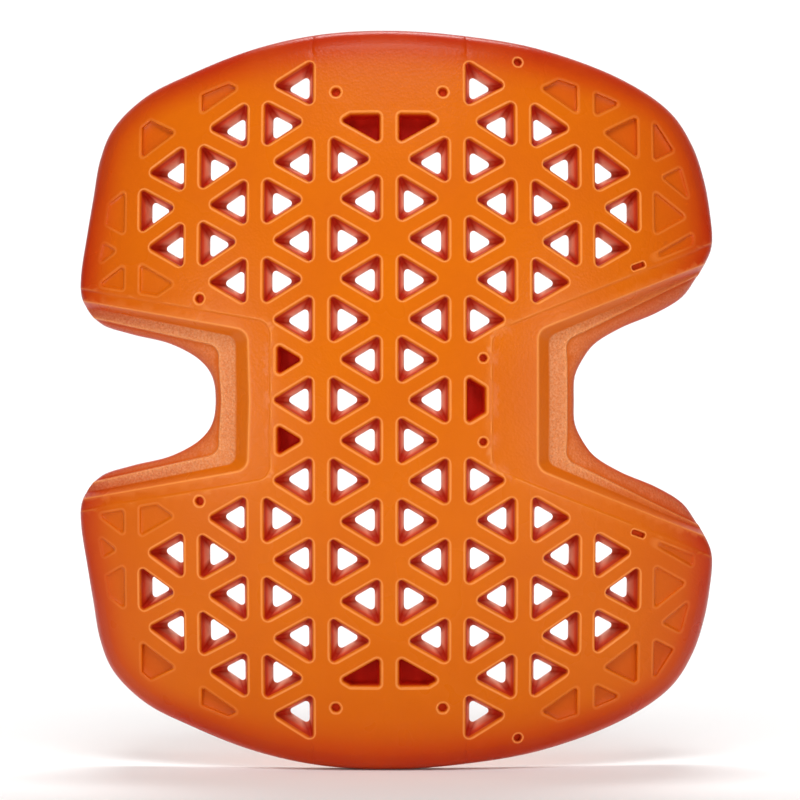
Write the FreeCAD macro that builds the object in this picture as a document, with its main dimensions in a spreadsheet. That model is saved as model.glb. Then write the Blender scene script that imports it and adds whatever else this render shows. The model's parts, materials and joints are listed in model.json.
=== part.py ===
"""Knee pad: a moulded elastomer insert for the knee pocket of work trousers.

The pad stands as it is worn. +Z is up the leg, +X is across the knee and the domed front
faces -Y. The origin is the middle of the knee side, where the kneecap rests.
All lengths are in millimetres.
"""

import FreeCAD, Part
import math
import os

from FreeCAD import Placement, Rotation, Vector

# Driving dimensions: alias, value, meaning.
DIMENSIONS = (
    ("half_length", 122.5, "from the middle to the thigh end"),
    ("half_width", 108.8, "from the middle to the widest point, on the right"),
    ("cross_radius", 180.0, "radius of the front across the knee"),
    ("long_radius", 430.0, "radius of the front along the leg"),
    ("wall", 10.0, "thickness of the moulding"),
    ("bar_spacing", 22.3, "between neighbouring upright bars of the lattice"),
    ("vent_pitch", 26.5, "between neighbouring pairs of vents along one bar"),
    ("mouth_inradius", 4.6, "vent opening at the front"),
    ("throat_inradius", 2.4, "vent opening at the knee side"),
    ("pocket_depth", 6.5, "depth of the deep blind pockets"),
    ("dimple_depth", 1.8, "depth of the shallow border dimples"),
    ("ledge_drop", 4.5, "step down from the front to the notch ledge"),
    ("draw_share", 0.4, "how far a vent leans from the mould's draw towards the surface's normal"),
    ("tab_half_width", 26.0, "half the width of an end tab"),
    ("tab_start", 96.0, "height at which an end tab begins"),
    ("joint_gap", 0.3, "clearance between bodies that bend"),
    ("flatten_deg", 6.0, "how far a wing can be pressed flat"),
    ("slack", 30.0, "how far a cutting form stands clear of the pad"),
)

# Edge of the upper half, from the waist to the end, as shares of half_width and half_length.
RIGHT_EDGE = (
    (0.561, 0.000), (0.564, 0.064), (0.586, 0.107), (0.623, 0.150), (0.704, 0.194), (0.824, 0.239),
    (0.906, 0.283), (0.946, 0.328), (0.976, 0.373), (1.000, 0.424), (0.995, 0.529), (0.977, 0.617),
    (0.942, 0.704), (0.875, 0.791), (0.729, 0.874), (0.464, 0.954), (0.216, 0.988),
)
LEFT_EDGE = (
    (-0.528, 0.000), (-0.539, 0.064), (-0.576, 0.107), (-0.666, 0.151), (-0.792, 0.179),
    (-0.889, 0.207), (-0.928, 0.240), (-0.952, 0.285), (-0.954, 0.340), (-0.934, 0.460),
    (-0.919, 0.548), (-0.899, 0.658), (-0.858, 0.745), (-0.756, 0.830), (-0.609, 0.891),
    (-0.417, 0.953), (-0.216, 0.990),
)

# Upper half of each step line round a notch: (x, z) corners, in millimetres.
RIGHT_STEP = ((33.6, 22.2), (86.0, 43.5), (140.0, 65.4))
LEFT_STEP = ((-38.9, 25.5), (-77.3, 32.4), (-140.0, 43.7))
RIGHT_LEDGE = ((52.7, 21.6), (111.3, 47.2), (140.0, 59.7))
LEFT_LEDGE = ((-50.8, 20.6), (-90.5, 28.2), (-140.0, 37.7))

# Lattice pattern: on each upright bar, the first and last pair of vents, in pitches from the middle.
THROUGH_PAIRS = {0: (0.5, 2.5), 1: (0.0, 3.0), 2: (1.5, 3.5), 3: (2.0, 3.0)}
WING_BAR = 3
THIGH = 1
SHIN = -1
LEFT = -1
RIGHT = 1

doc = FreeCAD.newDocument("knee_pad")
sheet = doc.addObject("Spreadsheet::Sheet", "dimensions")
for row, (alias, value, meaning) in enumerate(DIMENSIONS, start=1):
    sheet.set("A%d" % row, str(value))
    sheet.setAlias("A%d" % row, alias)
    sheet.set("B%d" % row, meaning)
doc.recompute()


def size(alias):
    """One driving dimension, as a number."""
    return float(sheet.get(alias))


CROSS = size("cross_radius")
LONG = size("long_radius")
WALL = size("wall")
BAR = size("bar_spacing")
PITCH = size("vent_pitch")
SLACK = size("slack")
CENTRE_Y = LONG - WALL


def front_point(across, along):
    """Point on the front, from the arc lengths across the knee and along the leg."""
    turn = across / CROSS
    lean = along / LONG
    reach = LONG - CROSS + CROSS * math.cos(turn)
    return Vector(CROSS * math.sin(turn), CENTRE_Y - reach * math.cos(lean), reach * math.sin(lean))


def draw_direction(across, along):
    """Direction in which a vent opens to the front: between the mould's draw and the normal."""
    turn = across / CROSS
    lean = along / LONG
    normal = Vector(math.sin(turn), -math.cos(turn) * math.cos(lean), math.cos(turn) * math.sin(lean))
    share = size("draw_share")
    mixed = Vector(0, -1, 0) * (1 - share) + normal * share
    return mixed.normalize()


def knee_side_y(x, z):
    """Depth of the knee side at a place in front view."""
    tube = CROSS - WALL
    reach = LONG - CROSS + math.sqrt(tube * tube - x * x)
    return CENTRE_Y - math.sqrt(reach * reach - z * z)


WING_X = front_point(WING_BAR * BAR, 0).x


# ---------------------------------------------------------------- the moulding before it is divided

def torus(label, offset_alias):
    """Ring whose outer side is the pad's front, or a surface at that offset inside it."""
    ring = doc.addObject("Part::Torus", label)
    ring.setExpression("Radius1", "dimensions.long_radius - dimensions.cross_radius")
    inset = " - dimensions.%s" % offset_alias if offset_alias else ""
    ring.setExpression("Radius2", "dimensions.cross_radius" + inset)
    ring.setExpression("Placement.Base.y", "dimensions.long_radius - dimensions.wall")
    ring.Placement.Rotation = Rotation(Vector(0, 1, 0), 90)
    return ring


def polygon_face(label, points):
    """Flat face in the XZ plane, in front of the pad, from (x, z) corners."""
    face = doc.addObject("Part::Feature", label)
    corners = [Vector(x, 0, z) for x, z in points]
    face.Shape = Part.Face(Part.makePolygon(corners + corners[:1]))
    face.Placement = Placement(Vector(0, -WALL - SLACK, 0), Rotation())
    return face


def extruded(label, face):
    """Prism through the whole depth of the pad."""
    prism = doc.addObject("Part::Extrusion", label)
    prism.Base = face
    prism.DirMode = "Custom"
    prism.Dir = Vector(0, 1, 0)
    prism.Solid = True
    prism.setExpression("LengthFwd", "dimensions.wall + 3 * dimensions.slack")
    return prism


def boolean(kind, label, base, tool):
    """Part::Cut or Part::Common of two objects."""
    result = doc.addObject("Part::" + kind, label)
    result.Base = base
    result.Tool = tool
    result.Refine = False
    return result


def outline_face():
    """Face inside the pad's edge, which is the same above and below the middle."""
    half_width = size("half_width")
    half_length = size("half_length")
    up_right = [(x * half_width, z * half_length) for x, z in RIGHT_EDGE]
    up_left = [(x * half_width, z * half_length) for x, z in LEFT_EDGE]
    upper = up_right + [(0.0, half_length)] + up_left[::-1]
    lower = [(x, -z) for x, z in reversed(upper[1:-1])]
    edge = Part.BSplineCurve()
    edge.interpolate([Vector(x, 0, z) for x, z in upper + lower], PeriodicFlag=True)
    face = doc.addObject("Part::Feature", "pad_edge")
    face.Shape = Part.Face(Part.Wire(edge.toShape()))
    face.Placement = Placement(Vector(0, -WALL - SLACK, 0), Rotation())
    return face


front_form = torus("front_form", None)
knee_form = torus("knee_form", "wall")
step_form = torus("step_form", "ledge_drop")
domed_wall = boolean("Cut", "domed_wall", front_form, knee_form)
pad_blank = boolean("Common", "pad_blank", extruded("edge_prism", outline_face()), domed_wall)


# ---------------------------------------------------------------- vents, pockets and dimples

def triangle(across, along, side, inradius, depth):
    """Triangle round a cell's centre, pointing away from its bar, at a depth below the front."""
    centre = front_point(across, along)
    inward = draw_direction(across, along) * -1
    level = Vector(0, 0, 1).cross(inward).normalize() * -1
    upright = inward.cross(level).normalize()
    middle = centre + inward * depth
    corners = []
    for turn in (0, 120, 240):
        angle = math.radians(turn)
        corner = level * (side * math.cos(angle)) + upright * math.sin(angle)
        corners.append(middle + corner * (2 * inradius))
    return Part.makePolygon(corners + corners[:1])


def vent_cutter(bar, side, row, depth):
    """Tapered three-sided cutter for one cell of the lattice; depth None goes right through."""
    across = bar * BAR + side * BAR / 3
    along = row * PITCH
    above = 2.0
    below = WALL * 1.4 if depth is None else depth
    mouth = size("mouth_inradius")
    taper = (mouth - size("throat_inradius")) / WALL
    top = triangle(across, along, side, mouth + taper * above, -above)
    foot = triangle(across, along, side, mouth - taper * below, below)
    return Part.makeLoft([top, foot], True, True)


def steps(first, last):
    """Row numbers from first to last, one pitch apart."""
    return [first + n for n in range(int(round(last - first)) + 1)]


def lattice_cells():
    """Every cell as (bar, side, row, depth)."""
    deep = size("pocket_depth")
    dimple = size("dimple_depth")
    cells = []
    for bar, (first, last) in THROUGH_PAIRS.items():
        for row in steps(first, last):
            for side in (LEFT, RIGHT):
                cells.append((bar, side, row, None))
    cells += [(1, RIGHT, 4, None), (4, LEFT, 2.5, None)]
    cells += [(4, RIGHT, 2.5, dimple), (3, LEFT, 4, dimple), (3, RIGHT, 4, dimple)]
    cells += [(4, LEFT, 3.5, dimple), (5, LEFT, 2, dimple), (5, LEFT, 3, dimple)]
    whole = {(0, side, 3.5 * half, deep) for side in (LEFT, RIGHT) for half in (THIGH, SHIN)}
    for bar, side, row, depth in cells:
        for half in (THIGH, SHIN):
            whole.add((bar, side, row * half, depth))
            whole.add((-bar, -side, row * half, depth))
    whole.discard((1, RIGHT, 0.0, None))
    whole.discard((1, RIGHT, -0.0, None))
    whole.add((1, RIGHT, 0.0, deep))
    whole |= {(-2, RIGHT, 0.5, deep), (-2, RIGHT, -0.5, deep)}
    return sorted(whole, key=lambda cell: cell[:3])


def vents(label, belongs):
    """All the cutters whose cells lie in one zone, as one object."""
    tools = doc.addObject("Part::Feature", label)
    cutters = [vent_cutter(*cell) for cell in lattice_cells() if belongs(*cell[:3])]
    tools.Shape = Part.Compound(cutters)
    tools.Placement = Placement()
    return tools


# ---------------------------------------------------------------- zones

def hub(bar, row):
    """Crossing of the lattice's bars in front view, as (x, z)."""
    point = front_point(bar * BAR, row * PITCH)
    return (point.x, point.z)


def mirrored(path):
    """A path's upper half, joined to its reflection below the middle."""
    return list(path) + [(x, -z) for x, z in reversed(path)]


def web_edge(half, inset):
    """Zigzag along the sloping bars between the web and a panel, from left to right."""
    rows = {-2: 1.0, -1: 1.5, 0: 1.0, 1: 1.5, 2: 1.0}
    return [(hub(bar, half * row)[0], hub(bar, half * row)[1] - half * inset) for bar, row in rows.items()]


gap = size("joint_gap")
far = size("half_length") + SLACK
wing_reach = size("half_width") + SLACK
web_zone = web_edge(THIGH, 0) + web_edge(SHIN, gap)[::-1]
step_zones = {
    LEFT: extruded("left_step_zone", polygon_face("left_step_line", mirrored(LEFT_STEP))),
    RIGHT: extruded("right_step_zone", polygon_face("right_step_line", mirrored(RIGHT_STEP))),
}
ledge_zones = {
    LEFT: extruded("left_ledge_zone", polygon_face("left_ledge_line", mirrored(LEFT_LEDGE))),
    RIGHT: extruded("right_ledge_zone", polygon_face("right_ledge_line", mirrored(RIGHT_LEDGE))),
}
both_steps = doc.addObject("Part::MultiFuse", "both_step_zones")
both_steps.Shapes = [step_zones[LEFT], step_zones[RIGHT]]
lattice_blank = boolean("Cut", "lattice_blank", pad_blank, both_steps)
flange_blanks = {}
for side, word in ((LEFT, "left"), (RIGHT, "right")):
    border = boolean("Common", word + "_border", pad_blank, step_zones[side])
    ledge_cutter = boolean("Cut", word + "_ledge_cutter", ledge_zones[side], step_form)
    flange_blanks[side] = boolean("Cut", word + "_flange_blank", border, ledge_cutter)


def hinge_ends(half):
    """Where a wing's bending line starts and ends on the knee side, as two points."""
    low, high = 20.0, 105.0
    clear = 0.2
    return [Vector(WING_X, knee_side_y(WING_X, z) + clear, half * z) for z in (low, high)]


def wing_zone(label, side, half):
    """Block outside a wing's bending line, tilted so that the wing can also be pressed flat."""
    start, end = hinge_ends(half)
    start.x *= side
    end.x *= side
    axis = (end - start).normalize()
    depth = far + SLACK
    block = doc.addObject("Part::Box", label)
    block.Length = wing_reach
    block.Width = depth
    block.setExpression("Height", "dimensions.half_length + dimensions.slack")
    low_z = gap / 2 if half == THIGH else -far - gap / 2
    low_x = abs(WING_X) + gap if side == RIGHT else -abs(WING_X) - gap - wing_reach
    block.Placement = Placement(Vector(low_x, -depth / 2, low_z), Rotation())
    tilt = size("flatten_deg") + 0.5
    pivot_turn = Placement(Vector(0, 0, 0), Rotation(axis, tilt * side * half), start)
    block.Placement = pivot_turn.multiply(block.Placement)
    return block


def panel_points(half):
    """Corners of a panel's zone in front view."""
    inner = web_edge(half, 0)
    left = [(-WING_X, inner[0][1])]
    right = [(WING_X, inner[-1][1])]
    outer = [(WING_X, half * far), (-WING_X, half * far)]
    return left + inner + right + outer


def tab_points(half):
    """Corners of an end tab's zone in front view."""
    reach = size("tab_half_width")
    start = size("tab_start")
    return [(-reach, half * start), (reach, half * start), (reach, half * far), (-reach, half * far)]


parts = []


def node(label, blank, zone, cutters=None):
    """One piece of the pad: the blank inside its zone, less its vents."""
    if cutters is None:
        piece = boolean("Common", label, blank, zone)
    else:
        solid = boolean("Common", label + "_solid", blank, zone)
        piece = boolean("Cut", label, solid, cutters)
    piece.Label = label
    parts.append(piece)
    return piece


def in_web(bar, side, row):
    """True for the cells between the two zigzags."""
    reach = {0: 1.0, 1: 1.5, 2: 1.0}
    return abs(row) < reach.get(abs(bar), 0)


def in_wing(bar, side, row, wing_side):
    """True for the cells outside a wing's bar."""
    outside = abs(bar) > WING_BAR or (abs(bar) == WING_BAR and side == wing_side)
    return outside and bar * wing_side > 0


web_prism = extruded("web_zone", polygon_face("web_zone_face", web_zone))
node("knee_web", lattice_blank, web_prism, vents("web_vents", in_web))

for half, name in ((THIGH, "thigh"), (SHIN, "shin")):
    tab_zone = extruded(name + "_tab_zone", polygon_face(name + "_tab_face", tab_points(half)))
    panel_zone = extruded(name + "_panel_zone", polygon_face(name + "_panel_face", panel_points(half)))
    without_tab = boolean("Cut", name + "_lattice", lattice_blank, tab_zone)

    def in_panel(bar, side, row, half=half):
        """True for the cells of this half that belong to neither the web nor a wing."""
        wings = in_wing(bar, side, row, LEFT) or in_wing(bar, side, row, RIGHT)
        return row * half > 0 and not wings and not in_web(bar, side, row)

    node(name + "_panel", without_tab, panel_zone, vents(name + "_vents", in_panel))
    node(name + "_end_tab", lattice_blank, tab_zone)
    for side, word in ((LEFT, "left"), (RIGHT, "right")):

        def in_this_wing(bar, side_of_bar, row, half=half, side=side):
            """True for the cells of this wing."""
            return row * half > 0 and in_wing(bar, side_of_bar, row, side)

        stem = name + "_" + word
        zone = wing_zone(stem + "_wing_zone", side, half)
        node(stem + "_wing", lattice_blank, zone, vents(stem + "_wing_vents", in_this_wing))
        node(stem + "_arm", flange_blanks[side], zone)

middle_box = doc.addObject("Part::Box", "waist_zone")
middle_box.Length = 2 * WING_X
middle_box.Width = far
middle_box.setExpression("Height", "2 * dimensions.half_length")
middle_box.Placement = Placement(Vector(-WING_X, -far / 2, -size("half_length")), Rotation())
node("left_waist_flange", flange_blanks[LEFT], middle_box)
node("right_waist_flange", flange_blanks[RIGHT], middle_box)

doc.recompute()
for item in doc.Objects:
    if "Invalid" in item.State or "Error" in item.State:
        raise RuntimeError("%s failed: %s" % (item.Label, item.State))
for piece in parts:
    shape = piece.Shape
    if shape.isNull() or not shape.isValid() or not shape.Solids:
        raise RuntimeError("%s has no valid solid" % piece.Label)

os.makedirs("parts", exist_ok=True)
for piece in parts:
    piece.Shape.exportStep("parts/%s.step" % piece.Label)
    print(piece.Label, "solids", len(piece.Shape.Solids), "volume %.0f mm3" % piece.Shape.Volume)
for half, name in ((THIGH, "thigh"), (SHIN, "shin")):
    start, end = hinge_ends(half)
    direction = (end - start).normalize() * half
    print(name, "wing hinge at", tuple(round(c, 3) for c in start), tuple(round(c, 5) for c in direction))
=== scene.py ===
"""Knee pad: the moulded orange elastomer insert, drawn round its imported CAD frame.

The pad is laid out on a flat plan and then wrapped onto its dome. A plan place is (u, v): arc
lengths in millimetres across the knee and along the leg. Depth w is millimetres below the front.
place() turns (u, v, w) into metres in the CAD's frame, where the front faces -Y and +Z is up.
"""

import json
import math

import bpy
import numpy as np
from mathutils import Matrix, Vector, kdtree
from mathutils.geometry import delaunay_2d_cdt


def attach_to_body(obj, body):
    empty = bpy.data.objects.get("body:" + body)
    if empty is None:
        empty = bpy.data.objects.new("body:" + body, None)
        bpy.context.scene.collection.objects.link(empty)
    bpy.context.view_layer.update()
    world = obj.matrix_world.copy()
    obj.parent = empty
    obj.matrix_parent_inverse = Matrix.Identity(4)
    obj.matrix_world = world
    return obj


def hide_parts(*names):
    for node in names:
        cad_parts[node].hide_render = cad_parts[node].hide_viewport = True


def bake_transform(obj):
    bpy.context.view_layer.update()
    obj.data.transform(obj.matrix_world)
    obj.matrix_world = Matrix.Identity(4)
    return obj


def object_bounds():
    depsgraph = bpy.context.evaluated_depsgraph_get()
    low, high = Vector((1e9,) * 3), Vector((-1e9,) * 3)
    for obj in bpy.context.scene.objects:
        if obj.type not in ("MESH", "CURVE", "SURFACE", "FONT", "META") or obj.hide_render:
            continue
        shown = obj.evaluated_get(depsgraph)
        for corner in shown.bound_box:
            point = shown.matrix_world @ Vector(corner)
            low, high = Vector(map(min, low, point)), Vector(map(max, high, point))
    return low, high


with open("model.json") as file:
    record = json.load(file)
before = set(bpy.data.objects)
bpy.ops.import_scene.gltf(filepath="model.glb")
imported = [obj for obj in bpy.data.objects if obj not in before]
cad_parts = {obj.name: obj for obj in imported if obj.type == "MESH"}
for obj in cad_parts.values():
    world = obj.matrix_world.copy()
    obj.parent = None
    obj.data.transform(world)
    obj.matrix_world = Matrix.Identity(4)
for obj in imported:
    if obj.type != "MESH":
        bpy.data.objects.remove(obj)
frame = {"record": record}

cad_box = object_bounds()
MM = 0.001

# Form of the moulding in millimetres, as in the CAD.
HALF_LENGTH = 122.5
HALF_WIDTH = 108.8
CROSS = 180.0
LONG = 430.0
WALL = 10.0
BAR = 22.3
PITCH = 26.5
DRAW_SHARE = 0.4  # how far walls turn from straight back (Y) to square with the dome
TAB_U = 23.6  # the tab's sides, just inside the vents beside them
TAB_V = 97.0
CREASE_U = 25.4
CREASE_V = 115.0  # the crease beside a tab starts past the last vent
CREASE_DEPTH = 0.3
CREASE_HALF = 0.5
CREASE_FADE = 2.0
OVER_END = 127.0  # a plan height past either end of the pad
WING_BAR = 3
WING_U = WING_BAR * BAR
LEFT = -1
RIGHT = 1
THIGH = 1
SHIN = -1

# Edge of the upper half, from the waist to the end, as shares of half the width and length.
RIGHT_EDGE = (
    (0.561, 0.0), (0.564, 0.064), (0.586, 0.107), (0.623, 0.15), (0.704, 0.194), (0.824, 0.239),
    (0.906, 0.283), (0.946, 0.328), (0.976, 0.373), (1.0, 0.424), (0.995, 0.529), (0.977, 0.617),
    (0.942, 0.704), (0.875, 0.791), (0.729, 0.874), (0.464, 0.954), (0.216, 0.988),
)
LEFT_EDGE = (
    (-0.528, 0.0), (-0.539, 0.064), (-0.576, 0.107), (-0.666, 0.151), (-0.792, 0.179), (-0.889, 0.207),
    (-0.928, 0.24), (-0.952, 0.285), (-0.954, 0.34), (-0.934, 0.46), (-0.919, 0.548), (-0.899, 0.658),
    (-0.858, 0.745), (-0.756, 0.83), (-0.609, 0.891), (-0.417, 0.953), (-0.216, 0.99),
)

# Lines round each notch, upper half: x at the waist, the corner's x and z, z at FAR_X, corner radius.
FAR_X = 140.0
TIP_X = 120.6  # the lines end here, past the wings
NOTCH_LINES = {
    LEFT: {
        "step": (-38.9, -38.9, 25.5, 43.7, 5.0),
        "brow": (-45.7, -46.4, 22.9, 40.0, 4.5),
        "foot": (-50.6, -51.2, 20.8, 38.8, 3.5),
        "lip": (-55.4, -56.7, 17.7, 36.5, 4.5),
    },
    RIGHT: {
        "step": (33.6, 33.6, 22.2, 65.4, 6.0),
        "brow": (48.7, 48.7, 22.9, 59.4, 4.5),
        "foot": (53.0, 53.0, 21.0, 58.9, 3.5),
        "lip": (58.7, 58.7, 19.7, 59.5, 4.5),
    },
}
# Drops of the front at the lines round a notch, and how sharply it turns there.
STEP_DROP = 0.45
STEP_HALF = 0.35
LEDGE_DROP = 4.0
LEDGE_TILT = 0.3
LIP_STEP = 0.9
LIP_HALF = 0.3
LIP_GROOVE = 0.35
NOTCH_EDGE_DROP = 8.3
SLOPE_ROUND = 0.09  # rounding at the slope's two ends, as a share of its width
SLOPE_START = -3.0  # no part of the slope is further outside the brow

# Edge of the pad, and the rim band round each end.
EDGE_ROUND = 2.6
BACK_ROUND = 1.2
RIM_WIDTH = 5.4
RIM_DROP = 2.0
RIM_ROUND = 0.07
RIM_START = 58.0
RIM_FADE = 26.0
RIM_OFF_STEP = 6.0  # the rim fades out over this distance from the step line
NOTCH_SHARPER = 0.75  # share of the edge's rounding that the notch border takes over
NOTCH_FULL = 5.0  # depth of the notch border where it has taken over
THINNEST = 0.3  # the front stays this far above the back's rounding
DRAW_FADE = 9.0  # walls run straight back at the edge, and turn over this distance inside it


# ---------------- the dome

def place(uv, w, edge):
    """Points in metres for plan places, their depths below the front and distances from the edge."""
    turn = uv[:, 0] / CROSS
    lean = uv[:, 1] / LONG
    reach = LONG - CROSS + CROSS * np.cos(turn)
    front = np.stack([
        CROSS * np.sin(turn),
        LONG - WALL - reach * np.cos(lean),
        reach * np.sin(lean)], axis=1)
    normal = np.stack([
        np.sin(turn),
        -np.cos(turn) * np.cos(lean),
        np.cos(turn) * np.sin(lean)], axis=1)
    share = (DRAW_SHARE * smooth((edge - EDGE_ROUND) / DRAW_FADE))[:, None]
    draw = normal * share + np.array([0.0, -1.0, 0.0]) * (1 - share)
    draw /= np.linalg.norm(draw, axis=1)[:, None]
    travel = w / np.einsum("ij,ij->i", draw, normal)
    return (front - draw * travel[:, None]) * MM


def plan(points):
    """Plan places of (x, z) points seen from the front."""
    xz = np.asarray(points, float)
    turn = np.arcsin(xz[:, 0] / CROSS)
    reach = LONG - CROSS + CROSS * np.cos(turn)
    return np.stack([turn * CROSS, LONG * np.arcsin(xz[:, 1] / reach)], axis=1)


def from_plan(uv):
    """(x, z) seen from the front, for plan places."""
    turn = uv[:, 0] / CROSS
    reach = LONG - CROSS + CROSS * np.cos(turn)
    return np.stack([CROSS * np.sin(turn), reach * np.sin(uv[:, 1] / LONG)], axis=1)


# ---------------- plane geometry

def inside(points, polygon):
    """True for the points inside a closed polygon."""
    x, y = points[:, 0][:, None], points[:, 1][:, None]
    ax, ay = polygon[:, 0][None], polygon[:, 1][None]
    bx, by = np.roll(polygon[:, 0], -1)[None], np.roll(polygon[:, 1], -1)[None]
    result = np.zeros(len(points), bool)
    chunk = 4000
    for start in range(0, len(points), chunk):
        part = slice(start, start + chunk)
        crosses = (ay > y[part]) != (by > y[part])
        with np.errstate(divide="ignore", invalid="ignore"):
            at = (bx - ax) * (y[part] - ay) / (by - ay) + ax
        result[part] = (crosses & (x[part] < at)).sum(axis=1) % 2 == 1
    return result


def point_tree(points):
    """Search tree over plan places."""
    tree = kdtree.KDTree(len(points))
    for n, p in enumerate(points):
        tree.insert((p[0], p[1], 0), n)
    tree.balance()
    return tree


def distance(points, line):
    """Distance from each place to a line of places, positive on its left."""
    tree = point_tree(line)
    near = np.array([tree.find((x, y, 0))[1] for x, y in points.tolist()])
    result = np.full(len(points), 1e6)
    for shift in (-1, 0):
        start = np.clip(near + shift, 0, len(line) - 2)
        run = line[start + 1] - line[start]
        away = points - line[start]
        t = np.clip((away * run).sum(axis=1) / np.maximum((run ** 2).sum(axis=1), 1e-12), 0, 1)
        gap = np.linalg.norm(away - run * t[:, None], axis=1)
        gap *= np.where(run[:, 0] * away[:, 1] - run[:, 1] * away[:, 0] < 0, -1, 1)
        result = np.where(np.abs(gap) < np.abs(result), gap, result)
    return result


def closed(loop):
    """A loop as a line that ends where it starts."""
    return np.vstack([loop, loop[:1]])


def smooth(t):
    """Smoothstep."""
    t = np.clip(t, 0, 1)
    return t * t * (3 - 2 * t)


def along(a, b, start, end, t):
    """Value at t of a straight run from a at start to b at end."""
    return (end - t) / (end - start) * a + (t - start) / (end - start) * b


def spline_loop(points, step):
    """Closed curve through points, with places about one step apart."""
    p = np.asarray(points, float)
    result = []
    for i in range(len(p)):
        p0, p1, p2, p3 = p[i - 1], p[i], p[(i + 1) % len(p)], p[(i + 2) % len(p)]
        knots = [0.0]
        for a, b in ((p0, p1), (p1, p2), (p2, p3)):
            knots.append(knots[-1] + np.linalg.norm(b - a) ** 0.5)
        t0, t1, t2, t3 = knots
        count = max(2, int(np.linalg.norm(p2 - p1) / step))
        for n in range(count):
            t = t1 + (t2 - t1) * n / count
            a1, a2, a3 = along(p0, p1, t0, t1, t), along(p1, p2, t1, t2, t), along(p2, p3, t2, t3, t)
            b1, b2 = along(a1, a2, t0, t2, t), along(a2, a3, t1, t3, t)
            result.append(along(b1, b2, t1, t2, t))
    return np.array(result)


def leftwards(ahead):
    """Unit vectors to the left of each direction."""
    ahead = ahead / np.linalg.norm(ahead, axis=1)[:, None]
    return np.stack([-ahead[:, 1], ahead[:, 0]], axis=1)


def inset_loop(loop, amount):
    """A loop moved inwards, for a loop that runs anticlockwise."""
    return loop + amount * leftwards(np.roll(loop, -1, axis=0) - np.roll(loop, 1, axis=0))


def beside(line, amount):
    """A line moved sideways, to its left."""
    return line + amount * leftwards(np.gradient(line, axis=0))


# Steps of a ring: each corner's arc, and the side after it.
CORNER_STEPS = 5
SIDE_STEPS = 4
RING_STEPS = CORNER_STEPS + SIDE_STEPS
SHORTEST_SIDE = 0.4
NEARLY_PARALLEL = 0.1


def inset_corners(corners, amount):
    """Inward normals of a convex polygon's sides, and its corners after every side moves inwards."""
    count = len(corners)
    normals, levels = [], []
    for i in range(count):
        a, b = corners[i], corners[(i + 1) % count]
        side = (b - a) / np.linalg.norm(b - a)
        normal = np.array([-side[1], side[0]])
        normals.append(normal)
        levels.append(normal @ a + amount)
    return normals, [
        np.linalg.solve(np.array([normals[i - 1], normals[i]]), np.array([levels[i - 1], levels[i]]))
        for i in range(count)]


def without_short_sides(corners, amount):
    """Convex polygon without the sides that vanish when every side moves inwards, or None."""
    corners = list(corners)
    while len(corners) > 2:
        count = len(corners)
        normals, inner = inset_corners(corners, amount)
        left = [
            float((inner[(i + 1) % count] - inner[i]) @ np.array([normals[i][1], -normals[i][0]]))
            for i in range(count)]
        shortest = int(np.argmin(left))
        if left[shortest] > SHORTEST_SIDE:
            return corners
        before, after = (shortest - 1) % count, (shortest + 1) % count
        pair = np.array([normals[before], normals[after]])
        if count == 3 or abs(np.linalg.det(pair)) < NEARLY_PARALLEL:
            return None
        levels = np.array([normals[before] @ corners[before], normals[after] @ corners[after]])
        corners[shortest] = np.linalg.solve(pair, levels)
        del corners[after]
    return None


def rounded_ring(corners, offset, radius):
    """Convex polygon moved inwards by offset, its corners rounded, anticlockwise."""
    count = len(corners)
    normals, centres = inset_corners(corners, offset + radius)
    ring = []
    for i in range(count):
        first = math.atan2(-normals[i - 1][1], -normals[i - 1][0])
        last = math.atan2(-normals[i][1], -normals[i][0])
        sweep = (last - first) % (2 * math.pi)
        for n in range(CORNER_STEPS + 1):
            angle = first + sweep * n / CORNER_STEPS
            ring.append(centres[i] + radius * np.array([math.cos(angle), math.sin(angle)]))
        start = ring[-1]
        end = centres[(i + 1) % count] - radius * normals[i]
        ring += [start + (end - start) * n / SIDE_STEPS for n in range(1, SIDE_STEPS)]
    return np.array(ring)


def clipped(corners, normal, level):
    """Convex polygon cut to the side where normal . p is at most level."""
    kept = []
    for i in range(len(corners)):
        a, b = corners[i], corners[(i + 1) % len(corners)]
        da, db = normal @ a - level, normal @ b - level
        if da <= 0:
            kept.append(a)
        if da * db < 0:
            kept.append(a + (b - a) * da / (da - db))
    return kept


# ---------------- outlines and lines on the plan

OUTLINE_STEP = 1.5
TURN_STEPS = 8


def stepped(a, b, count):
    """Places from a to b in equal steps, without a."""
    return [a + (b - a) * n / count for n in range(1, count + 1)]


def pad_outline():
    """The pad's edge on the plan, anticlockwise, the same above and below the middle."""
    scale = np.array([HALF_WIDTH, HALF_LENGTH])
    up_right = [np.array(p) * scale for p in RIGHT_EDGE]
    up_left = [np.array(p) * scale for p in LEFT_EDGE]
    upper = up_right + [np.array([0.0, HALF_LENGTH])] + up_left[::-1]
    lower = [p * np.array([1, -1]) for p in reversed(upper[1:-1])]
    return plan(spline_loop(upper + lower, OUTLINE_STEP))


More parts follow.
